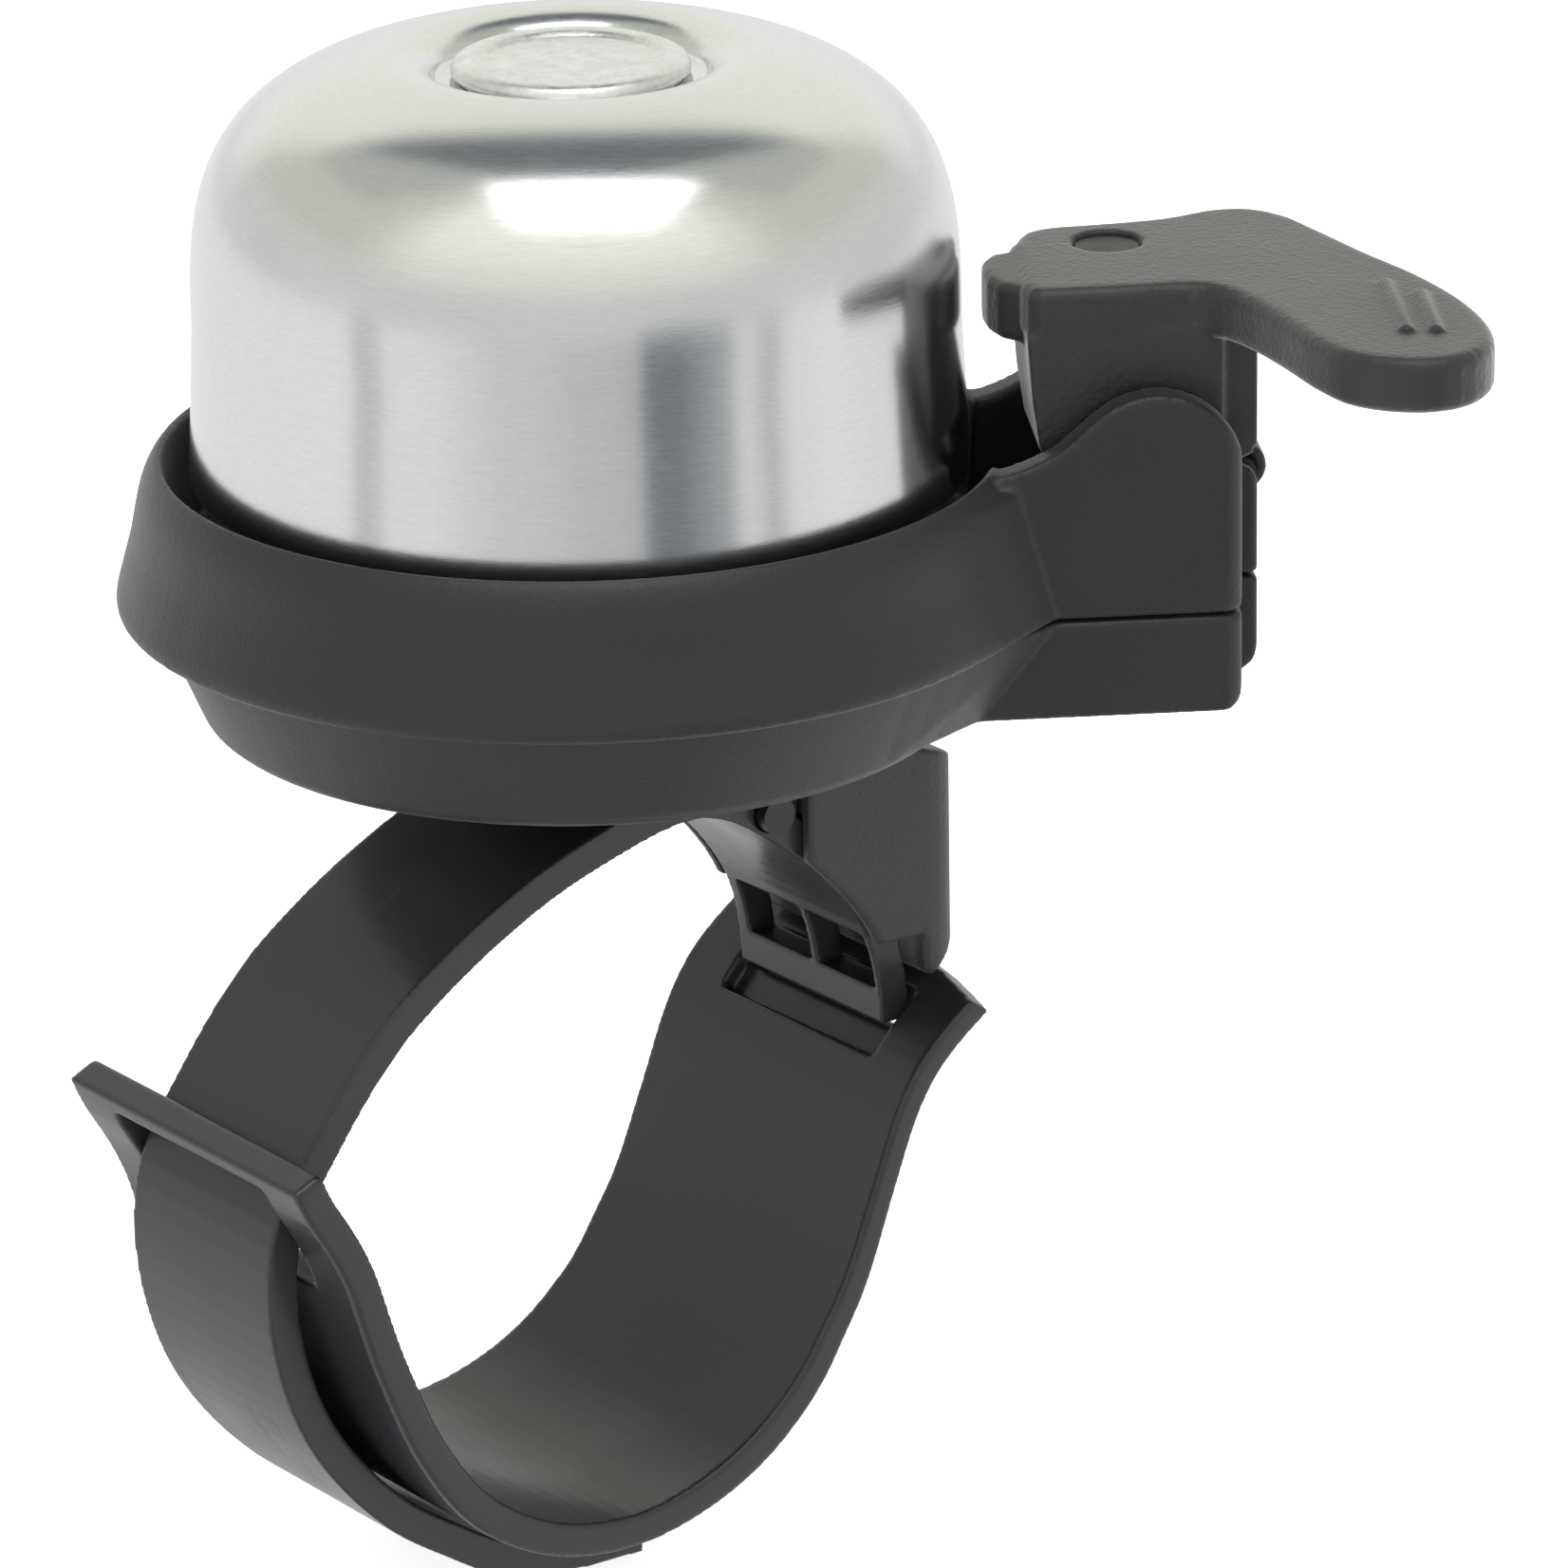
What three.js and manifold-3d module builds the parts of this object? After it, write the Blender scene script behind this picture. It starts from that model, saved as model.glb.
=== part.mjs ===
// Bicycle bell with a thumb striker and a two-strap handlebar clamp.
// Millimetres. Built round the bell's own axis (dome rim plane near z = 0),
// then moved so that the handlebar's centre is the origin:
// +Z up along the bell axis, +Y along the handlebar.
import * as THREE from 'three';
import * as BufferGeometryUtils from 'three/addons/utils/BufferGeometryUtils.js';
import Module from 'manifold-3d';

const wasm = await Module();
wasm.setup();

// ---------- driving constants ----------
const BELL_X = 4.5;             // bell axis ahead of the handlebar centre
const RIM_Z = 36.5;             // dome rim plane above the handlebar centre
const ARM_DEG = -31.85;         // striker arm direction about the bell axis
const DOME_R = 19.0;            // dome radius at the shoulder
const DOME_SHOULDER_Z = 6.14;   // where the straight wall ends
const DOME_RISE = 13.91;        // height of the domed part
const DOME_POW = 2 / 3.21;      // superellipse exponent
const DOME_WALL = 1.2;
const DOME_LOW = -1.7;          // bottom of the dome's rim
const RING_TOP_R = 21.55;       // base ring, outer radius at the lip
const RING_LOW_R = 23.24;       // base ring, outer radius at its lower edge
const SEAM_Z = -8.14;           // parting plane of the two base mouldings
const FLOOR_Z = -6.0;           // inner floor of the base ring
const BOWL_Z = -13.4;           // lower edge of the bowl's wall
const NEAR_T = -8.19;           // outer face of the near ear
const EAR_IN_T = -6.4;          // inner face of the near ear
const FAR_IN_T = 4.4;           // inner face of the far ear
const FAR_T = 6.4;              // outer face of the far ear
const PIVOT_S = 27.8, PIVOT_Z = -1.2;
const EAR_R = 4.45;
const STRAP_T = 1.75;           // strap thickness
const STRAP_HALF = 6.0;         // half width of the main strap
const KEEP_HALF = 10.0;         // half width of the keeper strap
const SEG = 64;

// ---------- helpers ----------
function clean(g) {
  const s = g.index ? g.toNonIndexed() : g.clone();
  for (const k of Object.keys(s.attributes)) if (k !== 'position') s.deleteAttribute(k);
  const m = BufferGeometryUtils.mergeVertices(s, 1e-5);
  const ix = m.index.array, out = [];
  for (let i = 0; i < ix.length; i += 3) {
    if (ix[i] !== ix[i + 1] && ix[i + 1] !== ix[i + 2] && ix[i] !== ix[i + 2]) out.push(ix[i], ix[i + 1], ix[i + 2]);
  }
  const p = m.attributes.position.array;
  let v = 0;
  for (let i = 0; i < out.length; i += 3) {
    const a = out[i] * 3, b = out[i + 1] * 3, c = out[i + 2] * 3;
    v += p[a] * (p[b + 1] * p[c + 2] - p[b + 2] * p[c + 1])
       + p[a + 1] * (p[b + 2] * p[c] - p[b] * p[c + 2])
       + p[a + 2] * (p[b] * p[c + 1] - p[b + 1] * p[c]);
  }
  if (v < 0) for (let i = 0; i < out.length; i += 3) { const t = out[i + 1]; out[i + 1] = out[i + 2]; out[i + 2] = t; }
  return { p: new Float32Array(p), ix: new Uint32Array(out) };
}
function solid(g) {
  const { p, ix } = clean(g);
  return new wasm.Manifold(new wasm.Mesh({ numProp: 3, vertProperties: p, triVerts: ix }));
}
function toGeo(m) {
  const k = m.getMesh();
  const g = new THREE.BufferGeometry();
  const np = k.numProp, n = k.vertProperties.length / np, p = new Float32Array(n * 3);
  for (let i = 0; i < n; i++) for (let j = 0; j < 3; j++) p[i * 3 + j] = k.vertProperties[i * np + j];
  g.setAttribute('position', new THREE.BufferAttribute(p, 3));
  g.setIndex(Array.from(k.triVerts));
  g.computeVertexNormals();
  return g;
}
// closed profile [[r, z], ...] turned about Z
function lathe(profile, seg = SEG, close = true) {
  const pts = profile.map(([r, z]) => new THREE.Vector2(Math.max(r, 0), z));
  const onAxis = profile[0][0] === 0 && profile[profile.length - 1][0] === 0;
  if (close && !onAxis) pts.push(pts[0].clone());
  const g = new THREE.LatheGeometry(pts, seg);
  g.rotateX(Math.PI / 2);
  return solid(g);
}
function shapeOf(pts) {
  const s = new THREE.Shape();
  s.moveTo(pts[0][0], pts[0][1]);
  for (let i = 1; i < pts.length; i++) s.lineTo(pts[i][0], pts[i][1]);
  s.closePath();
  return s;
}
// outline [[x, z], ...] extruded along y from y0 to y1
function slabY(pts, y0, y1) {
  const g = new THREE.ExtrudeGeometry(shapeOf(pts), { depth: y1 - y0, bevelEnabled: false, curveSegments: 8 });
  g.rotateX(Math.PI / 2);
  g.translate(0, y1, 0);
  return solid(g);
}
// outline [[x, y], ...] extruded along z from z0 to z1
function slabZ(pts, z0, z1) {
  const g = new THREE.ExtrudeGeometry(shapeOf(pts), { depth: z1 - z0, bevelEnabled: false, curveSegments: 8 });
  g.translate(0, 0, z0);
  return solid(g);
}
function bevelZ(pts, z0, z1, bev, segs = 3) {
  const g = new THREE.ExtrudeGeometry(shapeOf(pts), {
    depth: z1 - z0 - 2 * bev, bevelEnabled: true, bevelThickness: bev, bevelSize: bev, bevelOffset: -bev, bevelSegments: segs, curveSegments: 8 });
  g.translate(0, 0, z0 + bev);
  return solid(g);
}
function box(x0, x1, y0, y1, z0, z1) {
  const g = new THREE.BoxGeometry(x1 - x0, y1 - y0, z1 - z0);
  g.translate((x0 + x1) / 2, (y0 + y1) / 2, (z0 + z1) / 2);
  return solid(g);
}
// cylinder along y
function cylY(x, z, r, y0, y1, seg = 32) {
  const g = new THREE.CylinderGeometry(r, r, y1 - y0, seg);
  g.translate(x, (y0 + y1) / 2, z);
  return solid(g);
}
function cylZ(x, y, r, z0, z1, seg = 32) {
  const g = new THREE.CylinderGeometry(r, r, z1 - z0, seg);
  g.rotateX(Math.PI / 2);
  g.translate(x, y, (z0 + z1) / 2);
  return solid(g);
}
function arc(cx, cz, r, a0, a1, n) {
  const out = [];
  for (let i = 0; i <= n; i++) { const a = (a0 + (a1 - a0) * i / n) * Math.PI / 180; out.push([cx + r * Math.cos(a), cz + r * Math.sin(a)]); }
  return out;
}
function spline(pts, n) {
  const c = new THREE.CatmullRomCurve3(pts.map(p => new THREE.Vector3(p[0], p[1], 0)), false, 'centripetal');
  return c.getSpacedPoints(n).map(v => [v.x, v.y]);
}
// point list shifted sideways by d (positive = left of travel)
function shift(c, d) {
  return c.map((p, i) => {
    const a = c[Math.max(i - 1, 0)], b = c[Math.min(i + 1, c.length - 1)];
    const dx = b[0] - a[0], dz = b[1] - a[1], l = Math.hypot(dx, dz);
    const dd = typeof d === 'function' ? d(i / (c.length - 1)) : d;
    return [p[0] - dz / l * dd, p[1] + dx / l * dd];
  });
}
function band(inner, t) { return inner.concat(shift(inner, t).reverse()); }
// convex hull of points, for tapered blocks
function hull(pts) { return wasm.Manifold.hull(pts); }

const group = new THREE.Group();
group.name = 'bicycle_bell';
const mats = {
  alu: ['#c9cacb', 0.3, 1.0], nut: ['#b9bbbd', 0.42, 1.0], steel: ['#9a9ca0', 0.35, 1.0], dark_steel: ['#3a3b3d', 0.5, 1.0],
  nylon: ['#e6e3da', 0.6, 0.0], base: ['#2b2c2f', 0.72, 0.0], bowl: ['#303236', 0.66, 0.0], lever: ['#2c2d30', 0.62, 0.0],
  block: ['#2a2b2d', 0.75, 0.0], strap: ['#232427', 0.35, 0.0], keep: ['#232427', 0.35, 0.0], rubber: ['#1a1a1b', 0.9, 0.0] };
const arm = new THREE.Matrix4().makeRotationZ(ARM_DEG * Math.PI / 180);
const home = new THREE.Matrix4().makeTranslation(BELL_X, 0, RIM_Z);
function add(name, m, mat, onArm = false) {
  const g = m instanceof THREE.BufferGeometry ? m : toGeo(m);
  if (onArm) g.applyMatrix4(arm);
  g.applyMatrix4(home);
  const [c, r, k] = mats[mat];
  const mesh = new THREE.Mesh(g, new THREE.MeshStandardMaterial({ color: c, roughness: r, metalness: k }));
  mesh.name = name;
  group.add(mesh);
}

// ---------- dome and its post ----------
{
  const p = [];
  p.push([18.25, DOME_LOW], [19.2, DOME_LOW], [19.38, DOME_LOW + 0.2], [19.16, 3.0]);
  for (const th of [0, 10, 20, 29, 37, 44.5, 51.5, 58, 64, 69]) {
    const a = th * Math.PI / 180;
    p.push([DOME_R * Math.cos(a) ** DOME_POW, DOME_SHOULDER_Z + DOME_RISE * Math.sin(a) ** DOME_POW]);
  }
  p.push([9.1, 19.58], [8.35, 19.54], [7.7, 19.37], [7.2, 19.1], [6.85, 18.8], [6.65, 18.4], [2.6, 18.4], [2.6, 17.2], [7.4, 17.2]);
  const ri = DOME_R - DOME_WALL, rise = 17.2 - DOME_SHOULDER_Z;
  for (const th of [64, 46, 26, 0]) {
    const a = th * Math.PI / 180;
    p.push([ri * Math.cos(a) ** DOME_POW, DOME_SHOULDER_Z + rise * Math.sin(a) ** DOME_POW]);
  }
  add('bell_dome', lathe(p), 'alu');
}
add('dome_cap_nut', lathe([[0, 19.12], [4.3, 19.12], [4.62, 19.35], [4.95, 19.42], [5.35, 19.4], [5.68, 19.27], [5.86, 19.03], [5.9, 18.72],
  [2.45, 18.72], [2.45, 16.3], [2.02, 16.3], [2.02, 18.2], [0, 18.2]], 48), 'nut');
add('dome_washer', lathe([[2.55, 18.42], [5.6, 18.42], [5.6, 18.68], [2.55, 18.68]], 40), 'nylon');
add('dome_bushing', lathe([[2.6, 16.25], [5.4, 16.25], [5.4, 17.0], [5.2, 17.15], [2.6, 17.15]], 40), 'rubber');
add('post_sleeve', lathe([[2.1, -5.95], [5.2, -5.95], [5.2, -4.6], [3.4, -2.6], [3.3, 15.6], [4.6, 16.2], [2.5, 16.2], [2.1, 15.8]], 36), 'nylon');
add('center_stud', lathe([[0, -11.5], [1.7, -11.5], [1.97, -11.2], [1.97, 17.6], [1.6, 18.0], [0, 18.0]], 28), 'steel');
add('stud_washer', lathe([[2.15, -8.75], [4.4, -8.75], [4.4, -8.2], [2.15, -8.2]], 32), 'steel');
{
  const hex = [];
  for (let i = 0; i < 6; i++) hex.push([4.04 * Math.cos(i * Math.PI / 3), 4.04 * Math.sin(i * Math.PI / 3)]);
  add('stud_nut', slabZ(hex, -11.0, -8.8).subtract(cylZ(0, 0, 2.0, -12, -8, 28)), 'steel');
}

// ---------- base: upper ring moulding with ears (arm frame: s along the arm, t across) ----------
const earTop = spline([[20.6, -0.5], [21.6, -0.15], [23.1, 0.62], [24.5, 1.85]], 7)
  .concat(arc(PIVOT_S, PIVOT_Z, EAR_R, 128, 18, 13)).concat([[32.1, -0.6]]);
const pin = (r, t0, t1) => cylY(PIVOT_S, PIVOT_Z, r, t0, t1, 32);
function tangentWedge(levels, t0) {
  // side wall that leaves the round base tangentially and meets the ear's flat face
  const pts = [];
  for (const [z, R, sc] of levels) {
    const d = Math.hypot(sc, t0), az = Math.atan2(t0, sc), al = Math.acos(Math.min(R / d, 1));
    const a = az + Math.sign(t0) * al;
    pts.push([R * Math.cos(a), R * Math.sin(a), z], [sc, t0, z], [sc, t0 + (t0 < 0 ? 1.5 : -1.5), z], [(R - 1.6) * Math.cos(a), (R - 1.6) * Math.sin(a), z]);
  }
  return hull(pts);
}
{
  const ring = lathe([[2.2, SEAM_Z], [RING_LOW_R - 0.25, SEAM_Z], [RING_LOW_R, SEAM_Z + 0.25], [RING_LOW_R - 0.05, SEAM_Z + 0.8],
    [22.42, -4.6], [22.06, -2.8], [21.9, -2.15], [21.69, -1.55], [21.42, -1.04], [21.15, -0.68], [20.93, -0.5], [20.75, -0.6], [20.65, -1.0],
    [20.4, FLOOR_Z], [2.2, FLOOR_Z]]);
  const side = (t0, t1) => slabY(earTop.concat([[32.1, SEAM_Z], [18.5, SEAM_Z], [18.5, -0.9]]), t0, t1);
  let body = ring.add(side(NEAR_T, EAR_IN_T)).add(side(FAR_IN_T, FAR_T));
  body = body.add(tangentWedge([[SEAM_Z, RING_LOW_R, 22.84], [-1.25, RING_TOP_R - 0.04, 20.9]], NEAR_T));
  body = body.add(tangentWedge([[SEAM_Z, RING_LOW_R, 23.2], [-1.25, RING_TOP_R - 0.04, 21.6]], FAR_T));
  // floor between the ears, and the outer wall with its rounded corner
  body = body.add(box(18.0, 31.9, EAR_IN_T - 0.5, FAR_IN_T + 0.5, SEAM_Z, FLOOR_Z));
  const wall = [[31.0, -2.4], ...arc(32.6, -3.4, 1.0, 80, 0, 5), [33.6, SEAM_Z], [31.0, SEAM_Z]];
  body = body.add(slabY(wall, -2.4, FAR_T));
  // boss of the spring post on the wall's outer corner
  body = body.add(cylY(33.05, -3.05, 1.25, -0.7, 3.9, 24));
  // round the near ear's outer vertical edge
  const nip = slabZ([[31.3, NEAR_T - 0.01], ...arc(31.1, NEAR_T + 1.0, 1.0, -90, 0, 5).slice(1), [33, NEAR_T + 1.0], [33, NEAR_T - 1], [31.3, NEAR_T - 1]], -20, 6);
  body = body.subtract(nip);
  // way through the ring's wall for the hub, pin bores, post bore, fixing screw pilots
  body = body.subtract(box(19.9, 30.95, EAR_IN_T, FAR_IN_T, FLOOR_Z, 3));
  body = body.subtract(lathe([[18.0, FLOOR_Z], [20.4, FLOOR_Z], [20.65, -1.0], [20.6, 1], [18.0, 1]]));
  body = body.subtract(pin(0.93, NEAR_T + 0.9, EAR_IN_T + 0.5)).subtract(pin(0.93, FAR_IN_T - 0.5, FAR_T - 0.6));
  body = body.subtract(cylY(33.05, -3.05, 0.62, -1.5, 3.2, 20));
  for (const a of [60, 180, 300]) body = body.subtract(cylZ(13 * Math.cos(a * Math.PI / 180), 13 * Math.sin(a * Math.PI / 180), 1.02, -9, -6.6, 16));
  add('base_ring', body, 'base', true);
}
// ---------- base: lower bowl moulding ----------
{
  const z0 = SEAM_Z - 0.07;
  const bowl = lathe([[2.2, -14.9], [9.0, -14.9], [17.4, -14.15], [18.6, -13.85], [19.15, BOWL_Z - 0.02], [19.5, -12.6], [20.5, -10.2], [21.3, z0],
    [19.4, z0], [18.9, -9.8], [17.6, -12.5], [9.0, -13.4], [2.2, -13.4]]);
  const side = [[18.75, -13.3], [31.1, -13.3], ...arc(31.1, -12.3, 1.0, -72, 0, 4), [32.1, z0], [18.5, z0]];
  let body = bowl.add(slabY(side, NEAR_T, FAR_T));
  body = body.add(tangentWedge([[z0, 21.3, 22.84], [-13.3, 19.25, 18.75]], NEAR_T));
  body = body.add(tangentWedge([[z0, 21.3, 22.84], [-13.3, 19.25, 18.75]], FAR_T));
  const wall = [[30.5, z0], [33.6, z0], ...arc(32.3, -12.0, 1.3, 0, -90, 5), [30.5, -13.3]];
  body = body.add(slabY(wall, -2.4, FAR_T));
  const nip = slabZ([[31.3, NEAR_T - 0.01], ...arc(31.1, NEAR_T + 1.0, 1.0, -90, 0, 5).slice(1), [33, NEAR_T + 1.0], [33, NEAR_T - 1], [31.3, NEAR_T - 1]], -20, 6);
  body = body.subtract(nip);
  // hollow of the bowl and of the arm box
  body = body.subtract(lathe([[0, -13.4], [9.0, -13.4], [17.6, -12.5], [18.9, -9.8], [19.3, z0 + 0.1], [0, z0 + 0.1]]));
  body = body.subtract(box(21.6, 30.4, NEAR_T + 1.8, FAR_T - 1.8, -11.8, z0 + 0.1));
  for (const a of [60, 180, 300]) {
    const x = 13 * Math.cos(a * Math.PI / 180), y = 13 * Math.sin(a * Math.PI / 180);
    body = body.add(cylZ(x, y, 2.3, -14.1, z0, 20));
    body = body.subtract(cylZ(x, y, 1.12, -16, -8, 16)).subtract(cylZ(x, y, 1.85, -16, -12.2, 20));
  }
  add('base_bowl', body, 'bowl', true);
  let i = 1;
  for (const a of [60, 180, 300]) {
    const x = 13 * Math.cos(a * Math.PI / 180), y = 13 * Math.sin(a * Math.PI / 180);
    const sc = lathe([[0, -13.7], [1.3, -13.7], [1.65, -13.4], [1.65, -12.3], [0.98, -12.3], [0.98, -7.2], [0.4, -6.75], [0, -6.75]], 20)
      .subtract(box(-1.2, 1.2, -0.22, 0.22, -14, -13.2)).subtract(box(-0.22, 0.22, -1.2, 1.2, -14, -13.2));
    const g = toGeo(sc); g.translate(x, y, 0);
    add('base_screw_' + i++, g, 'steel', true);
  }
}

// ---------- striker lever ----------
const SLUG = [26.6, 1.9, 1.8];
{
  const plan = spline([[22.3, -6.1], [26, -6.1], [29.6, -6.0], [30.9, -6.5], [32.0, -8.4], [33.1, -11.4], [34.4, -15.7], [35.5, -18.0], [37.2, -19.35], [39.4, -19.85],
    [41.4, -19.15], [42.75, -17.3], [43.2, -14.7], [42.7, -10.4], [41.2, -5.7], [39.2, -1.5], [37.4, 2.7], [36.1, 5.4], [34.5, 6.85], [32.5, 6.95], [29.9, 5.8], [26, 5.2], [24.0, 5.0], [22.6, 4.2], [22.0, 2.6]], 78);
  plan.push([21.7, 2.2], [21.5, -4.6], [21.8, -5.7]);
  let lev = bevelZ(plan, 5.45, 8.25, 0.6, 4);
  // hammer nose facing the dome
  const nose = [[20.55, -3.5], [20.1, -2.2], [20.0, -0.9], [20.15, 0.6], [20.7, 1.7], [22.6, 2.2], [22.6, -4.2], [21.4, -4.3]];
  lev = lev.add(bevelZ(nose, 5.0, 7.95, 0.4, 2));
  // hub body above the ears
  lev = lev.add(slabY([[21.65, 5.9], [31.4, 5.9], [31.4, 1.2], [30.6, -0.2], [22.3, -0.2], [21.9, 2.5]], -6.05, 1.0));
  // web down to the pivot, with a round foot
  lev = lev.add(slabY([[22.6, 1.0], [22.6, -0.2], ...arc(PIVOT_S, PIVOT_Z, 3.2, 200, 340, 10), [30.85, 0.5], [30.85, 1.4]], -6.05, -2.7));
  // tail column at the outer side
  lev = lev.add(slabY([[30.6, 6.0], [33.15, 6.0], [33.15, -0.3], [32.9, -0.85], [32.3, -1.15], [31.4, -1.15], [30.6, -0.6]], -5.3, -2.7));
  // relief so the hub clears the spring and the far ear's side
  lev = lev.subtract(slabY([[20, -3], [26.9, -3], [26.9, -0.15], [20, -0.15]], -2.69, 2));
  lev = lev.subtract(pin(1.0, -7, 2));
  lev = lev.subtract(cylZ(SLUG[0], SLUG[1], SLUG[2], 5.9, 9, 32));
  // two raised grip ribs near the tip
  lev = lev.add(slabZ([[38.62, -15.3], [39.22, -15.3], [39.42, -7.2], [38.82, -7.2]], 8.0, 8.55));
  lev = lev.add(slabZ([[40.02, -15.5], [40.62, -15.5], [40.88, -9.2], [40.28, -9.2]], 8.0, 8.55));
  add('striker_lever', lev, 'lever', true);
}
add('hammer_slug', (() => { const g = toGeo(lathe([[0, 6.0], [SLUG[2] - 0.03, 6.0], [SLUG[2] - 0.03, 7.85], [SLUG[2] - 0.2, 8.0], [0, 8.0]], 32)); g.translate(SLUG[0], SLUG[1], 0); return g; })(), 'dark_steel', true);
add('lever_pin', pin(0.9, NEAR_T + 1.0, FAR_T - 0.7), 'steel', true);
// torsion spring round the pin: coil between the hub and the far ear
{
  const pts = [], R = 1.75, turns = 3.5, n = 14 * turns;
  pts.push(new THREE.Vector3(PIVOT_S + 2.75, 1.62, -5.4));
  pts.push(new THREE.Vector3(PIVOT_S + 2.3, 1.62, -3.4));
  for (let i = 0; i <= n; i++) {
    const a = -0.65 - i / n * turns * 2 * Math.PI;
    pts.push(new THREE.Vector3(PIVOT_S + R * Math.cos(a), 1.62 + 2.1 * i / n, PIVOT_Z + R * Math.sin(a)));
  }
  pts.push(new THREE.Vector3(PIVOT_S - 1.2, 3.75, PIVOT_Z + 3.2));
  pts.push(new THREE.Vector3(PIVOT_S - 0.9, 3.75, 5.2));
  const c = new THREE.CatmullRomCurve3(pts, false, 'centripetal');
  const sh = new THREE.Shape();
  sh.absarc(0, 0, 0.25, 0, 2 * Math.PI);
  const g = new THREE.ExtrudeGeometry(sh, { steps: 66, extrudePath: c, bevelEnabled: false, curveSegments: 3 });
  add('return_spring', solid(g), 'steel', true);
}
add('spring_post', cylY(33.05, -3.05, 0.6, -1.35, 3.1, 20), 'dark_steel', true);

// ---------- swivel under the bowl ----------
add('swivel_bolt', lathe([[0, -17.05], [1.7, -17.05], [1.95, -16.8], [1.95, -13.32], [3.6, -13.32], [3.6, -12.4], [3.2, -11.95], [0, -11.95]], 28), 'steel');
add('swivel_washer', lathe([[2.15, -15.35], [7.4, -15.35], [7.4, -14.97], [2.15, -14.97]], 40), 'nylon');

// ---------- main strap: arch, latch tongue and tail ----------
const innerRight = [[2.5, -19.25], [4.5, -19.9], [6.2, -20.95], [7.5, -21.9], [8.8, -23.0], [10.3, -24.5], [11.8, -26.3], [12.9, -28.1], [13.5, -29.9], [13.78, -31.6], [13.85, -33.2]];
const innerLeft = [[-10.1, -55.25], [-13.2, -53.4], [-16.3, -51.15], [-19.4, -47.7], [-21.2, -44.6], [-22.3, -40.9], [-22.55, -38.0], [-22.25, -35.5], [-21.3, -33.5],
  [-19.9, -31.55], [-18.7, -29.95], [-17.3, -28.3], [-15.7, -26.7], [-13.7, -25.2], [-11.5, -23.8], [-8.9, -22.4], [-5.9, -21.1], [-2.1, -19.95], [0.3, -19.4]];
const tail = [[-1.9, -56.35], [-5.6, -56.2]];
const innerA = spline(tail.concat(innerLeft).concat(innerRight), 84);
const PIN = [6.95, -19.95];
{
  const outline = band(innerA, STRAP_T);
  let st = slabY(outline, -STRAP_HALF, STRAP_HALF);
  st = st.add(cylY(PIN[0], PIN[1], 1.75, -STRAP_HALF, STRAP_HALF, 28).subtract(slabY(innerA.slice(55).concat([[13, -36], [0, -36], [-6, -23]]), -8, 8)));
  st = st.subtract(cylY(PIN[0], PIN[1], 1.0, -8, 8, 28));
  st = st.subtract(box(11.5, 17.5, -5.5, -0.75, -31.3, -28.2)).subtract(box(11.5, 17.5, -0.2, 5.1, -31.3, -28.2));
  add('main_strap', st, 'strap');
}
add('strap_pin', cylY(PIN[0], PIN[1], 0.96, -6.75, 6.75, 28), 'dark_steel');

// ---------- keeper strap ----------
const innerB = spline([[-23.6, -30.35], [-22.9, -31.9], [-21.7, -33.9], [-20.6, -36.2], [-19.9, -38.4], [-19.2, -40.6], [-18.2, -43.2], [-16.9, -46.1], [-14.4, -49.8], [-11.6, -52.0], [-8.6, -53.3], [-4.9, -53.75],
  [-1.5, -53.2], [1.6, -51.95], [3.8, -50.4], [5.55, -48.7], [6.85, -46.8], [7.97, -45.1], [8.9, -43.2], [9.68, -41.3], [10.47, -39.4], [11.26, -37.4], [12.2, -35.5], [13.5, -33.7], [15.1, -32.3], [16.7, -31.2], [18.4, -30.1]], 72);
{
  // the strap thins towards its free end
  const thick = innerB.map((_, i) => -(STRAP_T - 0.35 * Math.min(1, Math.max(0, (i - 44) / 14))));
  let k = slabY(innerB.concat(innerB.map((q, i) => shift(innerB, thick[i])[i]).reverse()), -KEEP_HALF, KEEP_HALF);
  // free end on the latch side: bowed in plan and cut to a sharp outer edge
  const bow = [-10.2, -8.5, -6.5, -4, -1.5, 1.5, 4, 6.5, 8.5, 10.2];
  const g = new THREE.ExtrudeGeometry(shapeOf([[26, -16], [26, 16], [17.75, 16], ...bow.map(b => [17.75 + 2.5 * (1 - Math.min(1, Math.abs(b) / 10) ** 2.2), -b]), [17.75, -16]]), { depth: 12, bevelEnabled: false });
  g.translate(0, 0, -38);
  g.applyMatrix4(new THREE.Matrix4().set(1, 0, -1.35, -1.35 * 32.3, 0, 1, 0, 0, 0, 0, 1, 0, 0, 0, 0, 1));
  k = k.subtract(solid(g));
  // window that the main strap threads through, and slot for the latch tongue with a shallow lead-in below it
  k = k.subtract(slabY([[-27.5, -33.6], [-23.6, -31.25], [-20, -31.9], [-18.9, -36.9], [-21.6, -37.8], [-26, -38.6]], -6.5, 6.5));
  k = k.subtract(slabY([[12.23, -33.93], [13.5, -35.07], [14.7, -33.75], [16.0, -33.75], [16.0, -29.0], [11.9, -29.0]], -6.35, 6.35));
  add('keeper_strap', k, 'keep');
}

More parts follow.
